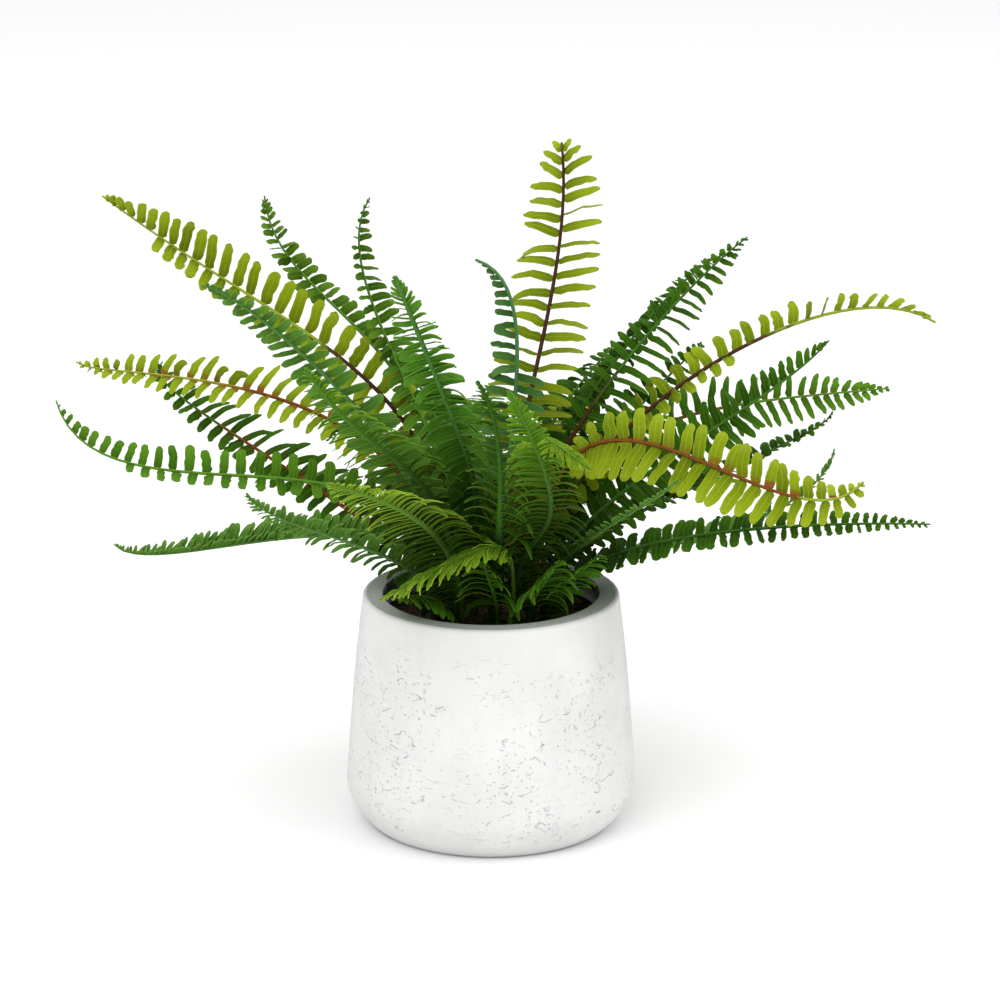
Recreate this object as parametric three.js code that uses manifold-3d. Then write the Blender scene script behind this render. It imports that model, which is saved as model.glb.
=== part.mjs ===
// A sword fern in a cast cement pot: the pot, the potting soil that fills it, and the fronds,
// each with its stalk planted in the soil. Millimetres, +Z up, +X to the right of the front view,
// -Y towards the front. The origin is the centre of the pot's foot.
import * as THREE from "three";
import { mergeVertices } from "three/addons/utils/BufferGeometryUtils.js";
import Module from "manifold-3d";

// ---- Driving dimensions ----

const pot = {
  height: 130,
  footRadius: 66,
  bellyRadius: 80, // the widest place
  bellyHeight: 26,
  rimRadius: 70.5,
  mouthRadius: 58.7,
  wall: 12,
  floor: 14,
  swell: 1.5, // how far the side bulges out of a straight line
  edgeRound: 2.5,
  bellyRound: 7,
  turns: 56, // facets round the pot
};

const soil = {
  top: 117, // height of the surface at the pot's wall
  dome: 4, // how much higher it lies at the crown
  gap: 0.3, // clear of the pot
  turns: 56,
};

const stalk = {
  radius: 1.6, // at the soil
  tipRadius: 0.5,
  planted: 9, // depth of the stalk's foot in the soil
  socketRadius: 2.3,
  socketSides: 6,
};

const blade = {
  stations: 12, // cross sections along a frond, the planted foot left out
  bendAt: 0.6, // place of the bend along the curve
  start: 0.14, // share of the length that is bare stalk
  taper: 3.2, // how late the blade narrows towards its tip
  clearance: 2.2, // kept free between one frond's blade and another frond
  step: 1.5, // how finely the free room is felt out
  finer: 3, // places felt out between two stations
};

const tones = {
  lime: { color: 0x8aa51f, roughness: 0.55 },
  mid: { color: 0x4f8a26, roughness: 0.55 },
  dark: { color: 0x2c6120, roughness: 0.5 },
  blue: { color: 0x3f7d47, roughness: 0.6 },
};

// Each frond rises from the crown, arches through its bend and ends at its tip. foot is where it
// leaves the soil, rise how strongly it first grows straight up, half the half width of its blade.
// roll is the turn of the blade about its stalk and cup how far its two rows of leaflets are
// raised (+) or hang (-), both in degrees at the foot and at the tip.
const frond = (name, tone, foot, rise, bend, tip, half, roll, cup, taper = blade.taper) => {
  return { name: "frond_" + name, tone, foot, rise, bend, tip, half, roll, cup, taper };
};

const fronds = [
  // Front, leaning towards the viewer and so seen from below
  frond("front_tall", "mid", [-9, -13], 97, [-13, -60, 225], [-48, -110, 331], 27, [0, 0], [-20, 5]),
  frond("front_left", "mid", [-18, -18], 100, [-53, -70, 227], [-93, -120, 286], 28, [10, 10], [-10, -10]),
  frond("front_light", "lime", [-15, -27], 48, [-38, -90, 197], [-82, -150, 234], 27, [10, 10], [-10, -10]),
  frond("front_centre", "mid", [12, -19], 70, [31, -82, 198], [9, -130, 277], 24, [0, 0], [-10, -10]),
  frond("front_centre_long", "dark", [1, -26], 30, [5, -80, 218], [-7, -108, 276], 25, [0, 0], [-20, -20]),
  frond("front_over_rim", "lime", [12, -38], 59, [-1, -64, 175], [-58, -82, 151], 17, [0, 0], [-45, -45]),
  frond("front_small_lime", "lime", [20, -17], 119, [23, -72, 237], [52, -92, 225], 13, [0, 0], [-20, -20]),
  frond("front_low_left", "dark", [4, -35], 20, [1, -41, 143], [-4, -54, 164], 19, [0, 0], [-20, -20]),
  frond("front_low_right", "dark", [20, -34], 20, [26, -44, 145], [36, -66, 168], 20, [0, 0], [-20, -20]),
  frond("front_right_inner", "blue", [22, -22], 40, [63, -62, 186], [97, -90, 219], 20, [-10, -10], [0, 0]),
  frond("inner_left", "dark", [-22, -32], 18, [-34, -42, 140], [-50, -58, 145], 18, [0, 0], [-10, -10]),
  frond("inner_right", "dark", [30, -26], 22, [42, -38, 150], [58, -62, 170], 18, [0, 0], [-10, -10]),
  // Left
  frond("left_blue", "blue", [-22, -10], 102, [-107, -40, 281], [-149, -60, 314], 22, [40, 40], [0, 0]),
  frond("left_lime_high", "lime", [-20, 6], 133, [-96, 40, 262], [-213, 60, 338], 27, [-40, -50], [0, 45]),
  frond("left_lime", "lime", [-26, 1], 149, [-151, 15, 244], [-226, 25, 253], 22, [-20, -20], [5, 20]),
  frond("left_long", "mid", [-29, -5], 127, [-152, -15, 201], [-232, -20, 243], 22, [-20, -20], [5, 35]),
  frond("left_low", "blue", [-31, -13], 90, [-131, -52, 173], [-198, -70, 178], 18, [0, 0], [35, 50]),
  frond("left_front_low", "blue", [-25, -24], 46, [-85, -74, 184], [-125, -110, 217], 19, [15, 15], [0, 0]),
  frond("left_dark", "dark", [-27, 8], 38, [-142, 50, 205], [-183, 70, 242], 22, [-30, -30], [0, 0]),
  frond("left_slim_high", "dark", [-16, 14], 160, [-85, 62, 274], [-126, 90, 332], 18, [-10, -10], [10, 10]),
  frond("left_upright", "dark", [-10, 7], 90, [-59, 35, 268], [-66, 50, 339], 20, [0, 0], [10, 10]),
  // Middle, upright
  frond("centre_slim", "blue", [4, -7], 90, [14, -20, 271], [-8, -30, 322], 19, [0, 0], [0, 0]),
  frond("centre_lime_tall", "lime", [3, 5], 80, [30, 50, 268], [39, 90, 362], 25, [0, 0], [0, 0], 7),
  // Right
  frond("right_lime_broad", "lime", [24, -12], 201, [116, -60, 218], [195, -70, 212], 28, [30, 50], [0, 0]),
  frond("right_dark_high", "dark", [12, 7], 80, [82, 40, 260], [140, 50, 317], 25, [40, 40], [0, 0]),
  frond("right_dark_behind", "dark", [10, 15], 80, [86, 66, 266], [135, 80, 299], 17, [20, 20], [0, 0]),
  frond("right_lime_arching", "lime", [20, 4], 90, [138, 25, 262], [242, 30, 274], 20, [40, 0], [-10, 45]),
  frond("right_dark", "dark", [27, -3], 60, [113, 0, 217], [182, 5, 270], 20, [40, 40], [0, 0]),
  frond("right_mid", "mid", [27, 6], 110, [108, 35, 220], [219, 45, 233], 26, [45, 45], [0, 0]),
  frond("right_small_dark", "dark", [19, 14], 60, [89, 70, 223], [118, 100, 244], 18, [30, 30], [0, 0]),
  frond("right_edge", "dark", [25, 15], 40, [133, 55, 184], [191, 70, 213], 16, [0, 0], [30, 30]),
  frond("right_blue", "blue", [33, -6], 45, [127, -4, 167], [186, 0, 211], 18, [-30, -30], [10, 10]),
  frond("right_low", "dark", [31, -16], 51, [134, -44, 178], [233, -50, 183], 20, [10, 35], [20, 5]),
  // Back, mostly drooping
  frond("back_upright", "mid", [-2, 14], 90, [-4, 72, 205], [0, 125, 216], 23, [0, 0], [0, 0]),
  frond("back_upright_left", "dark", [-9, 17], 80, [-35, 70, 218], [-55, 118, 240], 22, [0, 0], [0, 0]),
  frond("back_upright_right", "dark", [5, 21], 80, [42, 72, 218], [70, 118, 240], 22, [0, 0], [0, 0]),
  frond("back_right", "mid", [18, 24], 50, [68, 100, 190], [110, 158, 180], 25, [0, 0], [10, 10]),
  frond("back_right_inner", "lime", [11, 27], 60, [36, 118, 196], [60, 182, 178], 26, [0, 0], [0, 10]),
  frond("back_middle", "dark", [2, 29], 40, [5, 115, 172], [10, 185, 160], 25, [0, 0], [10, 10]),
  frond("back_left_inner", "mid", [-7, 26], 60, [-28, 112, 198], [-45, 182, 184], 25, [0, 0], [0, 10]),
  frond("back_left", "dark", [-15, 23], 50, [-58, 98, 186], [-96, 160, 172], 24, [0, 0], [10, 10]),
  frond("back_low_left", "blue", [-22, 16], 35, [-84, 74, 165], [-136, 126, 156], 21, [0, 0], [10, 20]),
  frond("back_low_right", "blue", [26, 23], 35, [90, 72, 164], [146, 114, 158], 21, [0, 0], [10, 20]),
];

// ---- Pot and soil ----

const wasm = await Module();
wasm.setup();

const material = (look) => new THREE.MeshStandardMaterial({ ...look, metalness: 0 });

function lathe(points, turns) {
  return new THREE.LatheGeometry(points, turns).rotateX(Math.PI / 2);
}

// The pot's inner face, from a height near the mouth down to the axis, taken in by gap.
function innerFace(path, gap, from) {
  const low = pot.bellyHeight + pot.bellyRound;
  const belly = pot.bellyRadius - pot.wall;
  const floor = pot.floor + gap;
  path.lineTo(THREE.MathUtils.mapLinear(from, low, pot.height, belly, pot.mouthRadius) - gap, from);
  path.lineTo(belly - gap, low);
  path.quadraticCurveTo(belly - gap, floor, belly - gap - 2 * pot.bellyRound, floor);
  path.lineTo(0, floor);
}

function potGeometry() {
  const { height, footRadius, bellyRadius, bellyHeight, bellyRound } = pot;
  const { rimRadius, mouthRadius, edgeRound } = pot;
  const shoulder = { radius: bellyRadius - bellyRound / 15, height: bellyHeight + bellyRound };
  const path = new THREE.Path().moveTo(0, 0);
  path.lineTo(footRadius - edgeRound, 0);
  path.quadraticCurveTo(footRadius, 0, footRadius + edgeRound / 2, edgeRound);
  path.lineTo(bellyRadius - bellyRound / 2, bellyHeight - bellyRound);
  path.quadraticCurveTo(bellyRadius, bellyHeight, shoulder.radius, shoulder.height);
  const swollen = (shoulder.radius + rimRadius) / 2 + pot.swell;
  path.quadraticCurveTo(swollen, (shoulder.height + height) / 2, rimRadius, height - edgeRound);
  path.quadraticCurveTo(rimRadius, height, rimRadius - edgeRound, height);
  path.lineTo(mouthRadius + edgeRound / 2, height);
  path.quadraticCurveTo(mouthRadius, height, mouthRadius, height - edgeRound / 2);
  innerFace(path, 0, height - edgeRound);
  return lathe(path.getPoints(4), pot.turns);
}

function soilHeight(x, y) {
  const share = Math.hypot(x, y) / pot.mouthRadius;
  return soil.top + soil.dome * (1 - share * share);
}

function soilGeometry() {
  const path = new THREE.Path().moveTo(0, soilHeight(0, 0));
  for (const share of [0.3, 0.6, 0.8]) {
    const radius = share * pot.mouthRadius;
    path.lineTo(radius, soilHeight(radius, 0));
  }
  innerFace(path, soil.gap, soil.top);
  return lathe(path.getPoints(4).reverse(), soil.turns);
}

// ---- Fronds ----

function rachisOf({ foot, rise, bend, tip }) {
  const [t, u] = [blade.bendAt, 1 - blade.bendAt];
  const start = new THREE.Vector3(...foot, soilHeight(...foot));
  const up = start.clone().setZ(start.z + rise);
  const end = new THREE.Vector3(...tip);
  const over = new THREE.Vector3(...bend).addScaledVector(start, -(u ** 3));
  over.addScaledVector(up, -3 * u * u * t).addScaledVector(end, -(t ** 3)).divideScalar(3 * u * t * t);
  return new THREE.CubicBezierCurve3(start, up, over, end);
}

// Half width of the blade as a share of its widest: bare stalk, quick spread, taper to a point.
function outline(share, taper) {
  if (share < blade.start) return 0;
  const along = (share - blade.start) / (1 - blade.start);
  const spread = Math.min(1, 0.55 + along * 3);
  return spread * Math.pow(1 - Math.pow(along, taper), 0.8);
}

const { degToRad, lerp } = THREE.MathUtils;
const angleAt = ([foot, tip], share) => degToRad(lerp(foot, tip, share));

// The section of a frond at a share of its length: where it is, which way its rows of leaflets
// point and which way its upper side faces.
function sectionOf(frond, share) {
  const place = frond.rachis.getPointAt(share);
  const forward = frond.rachis.getTangentAt(share);
  const left = new THREE.Vector3(frond.foot[1] - frond.tip[1], frond.tip[0] - frond.foot[0], 0);
  left.addScaledVector(forward, -left.dot(forward)).normalize();
  left.applyAxisAngle(forward, angleAt(frond.roll, share));
  const upper = new THREE.Vector3().crossVectors(forward, left);
  const cup = angleAt(frond.cup, share);
  const lift = upper.clone().multiplyScalar(Math.sin(cup));
  const row = (side) => left.clone().multiplyScalar(side * Math.cos(cup)).add(lift);
  return { place, upper, rows: { left: row(1), right: row(-1) } };
}

const stalkRadius = (share) => lerp(stalk.radius, stalk.tipRadius, share);

// The distance along a row at which it would come too near another frond's stalk or blade.
function roomAlong(place, row, wanted, stalks, blades) {
  const probe = new THREE.Vector3();
  const near = new THREE.Vector3();
  for (let reach = stalk.radius; reach < wanted + blade.clearance; reach += blade.step) {
    probe.copy(place).addScaledVector(row, reach);
    const blocked =
      stalks.some((line) => {
        line.closestPointToPoint(probe, true, near);
        return near.distanceTo(probe) < blade.clearance + stalk.radius;
      }) ||
      blades.some(({ triangle, centre, radius }) => {
        if (centre.distanceTo(probe) > radius + blade.clearance) return false;
        triangle.closestPointToPoint(probe, near);
        return near.distanceTo(probe) < blade.clearance;
      });
    if (blocked) return Math.max(0, reach - blade.clearance);
  }
  return wanted;
}

// Half widths at the stations, left and right, held back where a neighbour is in the way.
function halfWidths(frond, stalks, blades) {
  const last = blade.stations - 1;
  const widths = { left: [], right: [] };
  for (const side of ["left", "right"]) {
    const felt = [];
    for (let i = 0; i <= last * blade.finer; i++) {
      const share = i / (last * blade.finer);
      const { place, rows } = sectionOf(frond, share);
      const wanted = frond.half * outline(share, frond.taper);
      felt.push(wanted > 0 ? roomAlong(place, rows[side], wanted, stalks, blades) / wanted : 1);
    }
    for (let i = 0; i <= last; i++) {
      const from = Math.max(0, (i - 1) * blade.finer + 1);
      const free = Math.min(...felt.slice(from, (i + 1) * blade.finer));
      const share = i / last;
      widths[side].push(Math.max(stalkRadius(share), free * frond.half * outline(share, frond.taper)));
    }
  }
  return widths;
}

// A frond is a four-sided bar drawn out into a blade: two sharp margins, a ridge above and below.
function frondGeometry(frond, widths) {
  const last = blade.stations - 1;
  const geometry = new THREE.CylinderGeometry(1, 1, 1, 4, blade.stations);
  const position = geometry.getAttribute("position");
  for (let v = 0; v < position.count; v++) {
    const row = Math.round((position.getY(v) + 0.5) * blade.stations);
    const i = Math.max(0, row - 1);
    const section = sectionOf(frond, i / last);
    const place = section.place.clone();
    if (row === 0) place.z -= stalk.planted;
    const x = Math.round(position.getX(v));
    const side = x > 0 ? "left" : "right";
    place.addScaledVector(section.rows[side], Math.abs(x) * widths[side][i]);
    place.addScaledVector(section.upper, -Math.round(position.getZ(v)) * stalkRadius(i / last));
    position.setXYZ(v, place.x, place.y, place.z);
  }
  return geometry;
}

function bladeTriangles(geometry) {
  const position = geometry.getAttribute("position");
  const index = geometry.getIndex();
  const found = [];
  for (let i = 0; i < index.count; i += 3) {
    const triangle = new THREE.Triangle();
    triangle.setFromAttributeAndIndices(position, index.getX(i), index.getX(i + 1), index.getX(i + 2));
    const centre = triangle.getMidpoint(new THREE.Vector3());
    const radius = Math.max(...["a", "b", "c"].map((corner) => centre.distanceTo(triangle[corner])));
    found.push({ triangle, centre, radius });
  }
  return found;
}

function stalkLines(frond) {
  const points = frond.rachis.getSpacedPoints(blade.stations - 1);
  return points.slice(1).map((point, i) => new THREE.Line3(points[i], point));
}

function addFronds(group) {
  for (const frond of fronds) frond.rachis = rachisOf(frond);
  const blades = [];
  for (const frond of fronds) {
    const stalks = fronds.filter((other) => other !== frond).flatMap(stalkLines);
    const geometry = frondGeometry(frond, halfWidths(frond, stalks, blades));
    blades.push(...bladeTriangles(geometry));
    const mesh = new THREE.Mesh(geometry, material(tones[frond.tone]));
    mesh.name = frond.name;
    group.add(mesh);
  }
}

// ---- Sockets in the soil, cut with a boolean ----

function solidOf(geometry) {
  const bare = new THREE.BufferGeometry().setAttribute("position", geometry.getAttribute("position"));
  bare.setIndex(geometry.getIndex());
  const merged = mergeVertices(bare, 1e-3);
  const vertProperties = merged.getAttribute("position").array;
  const triVerts = new Uint32Array(merged.getIndex().array);
  return new wasm.Manifold(new wasm.Mesh({ numProp: 3, vertProperties, triVerts }));
}

function geometryOf(solid) {
  const mesh = solid.getMesh();
  const geometry = new THREE.BufferGeometry();
  geometry.setAttribute("position", new THREE.BufferAttribute(mesh.vertProperties, 3));
  geometry.setIndex(new THREE.BufferAttribute(mesh.triVerts, 1));
  return geometry;
}

function soilWithSockets() {
  let body = solidOf(soilGeometry());
  for (const { foot } of fronds) {
    const top = soilHeight(...foot);
    const length = 2 * stalk.planted;
    const { socketRadius, socketSides } = stalk;
    const socket = new THREE.CylinderGeometry(socketRadius, socketRadius, length, socketSides);
    socket.rotateX(Math.PI / 2).translate(...foot, top - stalk.planted - soil.gap + length / 2);
    body = body.subtract(solidOf(socket));
  }
  return geometryOf(body);
}

// ---- The plant ----

const plant = new THREE.Group();
const potMesh = new THREE.Mesh(potGeometry(), material({ color: 0xe9e8e4, roughness: 0.85 }));
potMesh.name = "pot";
const soilMesh = new THREE.Mesh(soilWithSockets(), material({ color: 0x2e2118, roughness: 1 }));
soilMesh.name = "potting_soil";
plant.add(potMesh, soilMesh);
addFronds(plant);

export default plant;
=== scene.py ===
import math
import random

import bmesh
import bpy
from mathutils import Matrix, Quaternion, Vector, noise
from mathutils.bvhtree import BVHTree
from mathutils.geometry import interpolate_bezier


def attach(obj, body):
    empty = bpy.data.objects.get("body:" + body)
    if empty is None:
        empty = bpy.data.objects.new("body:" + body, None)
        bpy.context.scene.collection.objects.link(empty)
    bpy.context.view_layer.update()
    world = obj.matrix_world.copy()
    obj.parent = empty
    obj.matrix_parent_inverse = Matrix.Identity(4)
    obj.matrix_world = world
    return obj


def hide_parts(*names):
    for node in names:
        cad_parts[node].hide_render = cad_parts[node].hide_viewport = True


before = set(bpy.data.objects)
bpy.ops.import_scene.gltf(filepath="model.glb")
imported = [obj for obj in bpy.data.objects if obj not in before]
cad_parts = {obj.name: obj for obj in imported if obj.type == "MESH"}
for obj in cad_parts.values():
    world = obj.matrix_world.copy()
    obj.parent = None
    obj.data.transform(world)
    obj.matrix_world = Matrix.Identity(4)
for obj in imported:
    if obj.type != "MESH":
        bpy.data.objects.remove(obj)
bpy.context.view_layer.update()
mm = 0.001


def metres(values):
    return [value * mm for value in values]


# camera, light and floor

photo = {
    "target": (0.0049, 0, 0.182), "distance": 2, "elevation": 16.1,
    "lens": 132.5, "clip": (0.05, 60),
}

studio = {
    "surround": 0.5, "surroundTone": (1, 1, 1, 1),  # strength and colour of the white surround
    "lamps": {  # place, aim, size and watts of each soft box
        "softBoxFront": ((-0.9, -2.2, 2.4), (0, 0, 0.18), 2.2, 38),
        "softBoxRight": ((2.2, -0.9, 1.8), (0, 0, 0.18), 1.8, 15),
        "softBoxTop": ((0.1, 0.6, 3.0), (0, 0, 0.18), 3.0, 21),
        "softBoxCeiling": ((0, 0, 7), (0, 0, 0), 14, 500),  # keeps the floor white far out
    },
    "floorTone": (0.93, 0.93, 0.93, 1), "floorRoughness": 0.9, "floorSize": 12,
}


def link(name, data):
    thing = bpy.data.objects.new(name, data)
    bpy.context.scene.collection.objects.link(thing)
    return thing


def setUpCamera():
    data = bpy.data.cameras.new("photoCamera")
    data.lens = photo["lens"]
    data.clip_start, data.clip_end = photo["clip"]
    camera = link("photoCamera", data)
    tilt = math.radians(photo["elevation"])
    back = Vector((0, -math.cos(tilt), math.sin(tilt)))
    camera.location = Vector(photo["target"]) + back * photo["distance"]
    camera.rotation_euler = (math.pi / 2 - tilt, 0, 0)
    bpy.context.scene.camera = camera


def setUpLight():
    for name, (place, aim, size, watts) in studio["lamps"].items():
        data = bpy.data.lights.new(name, "AREA")
        data.size = size
        data.energy = watts
        lamp = link(name, data)
        lamp.location = place
        lamp.rotation_mode = "QUATERNION"
        lamp.rotation_quaternion = (Vector(place) - Vector(aim)).to_track_quat("Z", "Y")
    world = bpy.data.worlds.new("surround")
    world.use_nodes = True
    background = world.node_tree.nodes["Background"].inputs
    background["Color"].default_value = studio["surroundTone"]
    background["Strength"].default_value = studio["surround"]
    bpy.context.scene.world = world
    bpy.context.scene.view_settings.view_transform = "Standard"


# shader maths: a wire is a socket that sums and products can be written on

class Wire:
    def __init__(self, finish, socket):
        self.finish = finish
        self.socket = socket

    def maths(self, operation, first, second=0.0):
        return self.finish.node("ShaderNodeMath", {"operation": operation}, {0: first, 1: second})

    def __add__(self, other):
        return self.maths("ADD", self, other)

    def __radd__(self, other):
        return self.maths("ADD", other, self)

    def __sub__(self, other):
        return self.maths("SUBTRACT", self, other)

    def __rsub__(self, other):
        return self.maths("SUBTRACT", other, self)

    def __mul__(self, other):
        return self.maths("MULTIPLY", self, other)

    def __rmul__(self, other):
        return self.maths("MULTIPLY", other, self)

    def __abs__(self):
        return self.maths("ABSOLUTE", self)


def tone(code, strength=1.0):
    parts = [int(code[i:i + 2], 16) / 255 for i in (1, 3, 5)]
    linear = [p / 12.92 if p <= 0.04045 else ((p + 0.055) / 1.055) ** 2.4 for p in parts]
    return tuple(min(1, p * strength) for p in linear) + (1,)


class Finish:
    def __init__(self, name):
        self.material = bpy.data.materials.new(name)
        self.material.use_nodes = True
        self.tree = self.material.node_tree
        self.shader = self.tree.nodes["Principled BSDF"]

    def feed(self, socket, value):
        if isinstance(value, Wire):
            self.tree.links.new(value.socket, socket)
        else:
            socket.default_value = value

    def node(self, kind, settings=None, feeds=None, out=0):
        made = self.tree.nodes.new(kind)
        for key, value in (settings or {}).items():
            setattr(made, key, value)
        for key, value in (feeds or {}).items():
            self.feed(made.inputs[key], value)
        return Wire(self, made.outputs[out])

    def place(self):
        return self.node("ShaderNodeTexCoord", out="Object")

    def attribute(self, name):
        return self.node("ShaderNodeAttribute", {"attribute_name": name}, out="Fac")

    def parts(self, vector):
        split = self.node("ShaderNodeSeparateXYZ", feeds={0: vector}).socket.node
        return [Wire(self, output) for output in split.outputs]

    def stretched(self, vector, scale, turn=(0, 0, 0)):
        feeds = {"Vector": vector, "Scale": scale, "Rotation": turn}
        return self.node("ShaderNodeMapping", feeds=feeds)

    def clouds(self, vector, scale, detail=2.0, roughness=0.5, out=0):
        feeds = {"Vector": vector, "Scale": scale, "Detail": detail, "Roughness": roughness}
        return self.node("ShaderNodeTexNoise", feeds=feeds, out=out)

    def cells(self, vector, scale, out="Distance"):
        return self.node("ShaderNodeTexVoronoi", feeds={"Vector": vector, "Scale": scale}, out=out)

    def fade(self, value, low, high, start=0.0, end=1.0):
        feeds = {"Value": value, "From Min": low, "From Max": high, "To Min": start, "To Max": end}
        return self.node("ShaderNodeMapRange", {"interpolation_type": "SMOOTHSTEP"}, feeds)

    def capped(self, value):
        return self.node("ShaderNodeClamp", feeds={0: value})

    def blend(self, share, first, second):
        return self.node("ShaderNodeMix", {"data_type": "RGBA"}, {0: share, 6: first, 7: second}, 2)

    def relief(self, height, depth, strength=1.0, under=None):
        feeds = {"Height": height, "Distance": depth, "Strength": strength}
        if under:
            feeds["Normal"] = under
        return self.node("ShaderNodeBump", feeds=feeds)

    def wear(self, colour, roughness, normal=None, **fixed):
        for key, value in (("Base Color", colour), ("Roughness", roughness), ("Normal", normal)):
            if value is not None:
                self.feed(self.shader.inputs[key], value)
        for key, value in fixed.items():
            self.shader.inputs[key.replace("_", " ")].default_value = value
        return self.material


def finished(name, bm, materials):
    for face in bm.faces:
        face.smooth = True
    mesh = bpy.data.meshes.new(name)
    bm.to_mesh(mesh)
    bm.free()
    for material in materials:
        mesh.materials.append(material)
    return link(name, mesh)


def makeFloor():
    bm = bmesh.new()
    bmesh.ops.create_grid(bm, x_segments=1, y_segments=1, size=studio["floorSize"])
    paint = Finish("paleFloor").wear(studio["floorTone"], studio["floorRoughness"])
    finished("floor", bm, [paint])


setUpCamera()
setUpLight()
makeFloor()
print("camera, light and floor")


# the pot

pot = {
    "height": 130, "footRadius": 66, "bellyRadius": 80, "bellyHeight": 22,
    "underBelly": (73.8, 6.2),  # the side curves in round this, from belly to foot
    "rimRadius": 70.5, "mouthRadius": 58.7, "wall": 12, "floor": 14,
    "swell": 1.5, "edgeRound": 2.5, "bellyRound": 3.6,
    "turns": 160,
    "steps": {"foot": 4, "belly": 9, "side": 22, "rim": 4, "mouth": 3, "inside": 5},
    "unevenness": 0.22, "lumpSize": 38,  # how far the cast side strays, and over what distance
    "strayFrom": (50, 4),  # the radius and height from which it strays
    "cement": tone("#e0e0df"), "pale": tone("#e8e8e7"), "stain": tone("#c6c6c3"),
    # the grey of the pits and drag marks is painted shade
    # the rim's grey-green is partly the cement's own grey, partly painted shade and painted green
    # reflection of the leaves above
    "pitShade": tone("#9c9b98"), "rim": tone("#9fa59e"), "inside": tone("#4b4f49"),
    # heights and radii between which the finish changes
    "smoothTop": (122, 100), "smoothFoot": (4, 20), "darkerFoot": (12, 0),
    "rimHeight": (128.6, 129.6), "rimReach": (68.8, 67.8), "insideReach": (59, 60),
    # how fine each pattern is
    "blotches": 22, "streaks": 130, "grain": 900, "patches": 30, "fray": 420,
    "dragMarks": 62, "dragBreaks": 190, "insideMottle": 300,
    "fringe": 3,  # how ragged the pits are
    "finePits": {"scale": 480, "size": (0.34, 0.1), "share": (0.4, 0.7), "depth": 0.6},
    "widePits": {"scale": 190, "size": (0.26, 0.08), "share": (0.72, 0.86), "depth": 0.9},
}


def curved(start, handle, end, steps):
    made = []
    for i in range(1, steps + 1):
        t = i / steps
        u = 1 - t
        made.append([u ** 2 * a + 2 * t * u * b + t * t * c for a, b, c in zip(start, handle, end)])
    return made


def innerSide(gap, top):
    low = pot["bellyHeight"] + pot["bellyRound"]
    belly = pot["bellyRadius"] - pot["wall"]
    share = (top - low) / (pot["height"] - low)
    base = pot["floor"] + gap
    side = [(belly + share * (pot["mouthRadius"] - belly) - gap, top), (belly - gap, low)]
    corner, floor = (belly - gap, base), (belly - gap - 2 * pot["bellyRound"], base)
    return side + curved(side[-1], corner, floor, pot["steps"]["inside"]) + [(0, base)]


def turned(vector, axis, degrees):
    made = vector.copy()
    made.rotate(Quaternion(axis, math.radians(degrees)))
    return made


# a closed tube of unit radius, grown ring by ring: gives its vertices with their angle and ring
def tube(bm, sides, rings):
    grown = bmesh.ops.create_circle(bm, cap_ends=True, segments=sides, radius=1)["verts"]
    made = [(v, math.atan2(v.co.y, v.co.x), 0) for v in grown]
    cap = grown[0].link_faces[0]
    for ring in range(1, rings + 1):
        geom = bmesh.ops.extrude_face_region(bm, geom=[cap])["geom"]
        if ring > 1:
            bmesh.ops.delete(bm, geom=[cap], context="FACES_ONLY")  # no wall inside the tube
        cap = next(g for g in geom if isinstance(g, bmesh.types.BMFace))
        made += [(v, math.atan2(v.co.y, v.co.x), ring) for v in cap.verts]
    return made


def potProfile():
    height, edge, belly = pot["height"], pot["edgeRound"], pot["bellyRound"]
    steps = pot["steps"]
    foot = (pot["footRadius"] + edge / 2, edge / 2)
    lower = (pot["bellyRadius"] - belly / 4, pot["bellyHeight"] - belly)
    upper = (pot["bellyRadius"] - belly / 15, pot["bellyHeight"] + belly)
    rim = (pot["rimRadius"], height - edge)
    swollen = ((upper[0] + rim[0]) / 2 + pot["swell"], (upper[1] + rim[1]) / 2)
    top = (pot["rimRadius"] - edge, height)
    inner = (pot["mouthRadius"] + edge / 2, height)
    mouth = (pot["mouthRadius"], height - edge / 2)
    path = [(0, 0), (pot["footRadius"] - edge, 0)]
    path += curved(path[-1], (pot["footRadius"], 0), foot, steps["foot"])
    path += curved(foot, pot["underBelly"], lower, steps["belly"])
    path += curved(lower, (pot["bellyRadius"], pot["bellyHeight"]), upper, steps["belly"])
    path += curved(upper, swollen, rim, steps["side"])
    path += curved(rim, (pot["rimRadius"], height), top, steps["rim"])
    path += curved(top, ((inner[0] + pot["rimRadius"]) / 2, height), inner, steps["mouth"])
    path += curved(inner, (pot["mouthRadius"], height), mouth, steps["mouth"])
    return path + innerSide(0, height - edge)


def spun(bm, path, turns):
    corners = [bm.verts.new((r * mm, 0, z * mm)) for r, z in path]
    edges = [bm.edges.new(pair) for pair in zip(corners, corners[1:])]
    bmesh.ops.spin(bm, geom=corners + edges, cent=(0, 0, 0), axis=(0, 0, 1), angle=math.tau,
                   steps=turns, use_merge=True)
    bmesh.ops.remove_doubles(bm, verts=bm.verts[:], dist=0.01 * mm)
    bmesh.ops.recalc_face_normals(bm, faces=bm.faces[:])


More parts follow.
